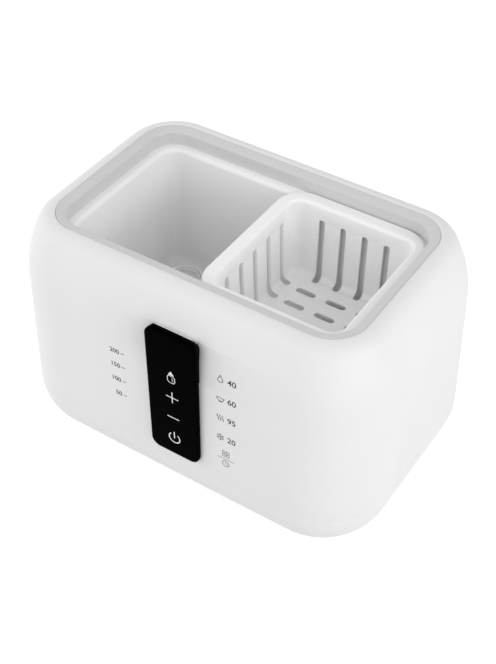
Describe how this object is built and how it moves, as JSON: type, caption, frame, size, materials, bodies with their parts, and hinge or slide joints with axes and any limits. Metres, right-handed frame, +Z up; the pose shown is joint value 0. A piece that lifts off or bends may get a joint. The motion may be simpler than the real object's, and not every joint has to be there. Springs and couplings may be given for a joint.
{
  "type": "bottle warmer sterilizer",
  "caption": "Rounded-box bottle warmer and steam sterilizer with an open water tank, a slotted lift-out basket and a touch panel on the front.",
  "frame": {"origin": "on the floor under the middle of the body, at the underside of the feet", "axes": "+Z up, +X along the long side, the control panel faces -Y"},
  "size_m": [0.2238, 0.1556, 0.1465],
  "materials": {
    "casing_white": "smooth satin gloss",
    "base_white": "smooth satin gloss",
    "ring_grey": "fine satin",
    "tank_white": "fine satin",
    "basket_white": "fine satin",
    "lens_black": "polished",
    "frame_black": "satin",
    "board_green": "solder mask",
    "display_grey": "satin",
    "spring_steel": "bright",
    "lamp_ivory": "clear",
    "screw_steel": "zinc plated",
    "plate_steel": "brushed",
    "clamp_steel": "plain sheet",
    "seal_silicone": "matte silicone",
    "spreader_aluminium": "cast",
    "thermostat_tan": "phenolic",
    "fuse_white": "sleeved",
    "relay_blue": "satin",
    "transformer_yellow": "taped winding",
    "terminal_green": "satin",
    "lead_red": "silicone sleeve",
    "ribbon_grey": "flat cable",
    "gland_white": "matte",
    "foot_grey": "matte"
  },
  "bodies": {
    "housing": {"outer_casing": "casing_white", "base_pan": "base_white", "top_ring": "ring_grey", "tank_liner": "tank_white", "panel_lens": "lens_black", "panel_frame": "frame_black", "control_board": "board_green", "power_board": "board_green", "display_module": "display_grey", "touch_springs": "spring_steel", "icon_leds": "lamp_ivory", "board_screws": "screw_steel", "panel_screws": "screw_steel", "clamp_screws": "screw_steel", "power_board_screws": "screw_steel", "base_screws": "screw_steel", "liner_screws": "screw_steel", "probe_nut": "screw_steel", "heating_plate": "plate_steel", "temperature_probe": "plate_steel", "clamp_ring": "clamp_steel", "thermostat_strap": "clamp_steel", "plate_seal": "seal_silicone", "probe_seal": "seal_silicone", "heat_spreader": "spreader_aluminium", "heating_element": "spreader_aluminium", "thermostat": "thermostat_tan", "thermal_fuse": "fuse_white", "relay": "relay_blue", "transformer": "transformer_yellow", "terminal_block": "terminal_green", "heater_leads": "lead_red", "control_ribbon": "ribbon_grey", "cord_gland": "gland_white", "foot_1": "foot_grey", "foot_2": "foot_grey", "foot_3": "foot_grey", "foot_4": "foot_grey"},
    "basket": {"basket": "basket_white"}
  },
  "joints": [
    {"name": "basket_lift", "type": "slide", "parent": "housing", "child": "basket", "axis": [0, 0, 1], "range_m": [0, 0.085]}
  ]
}
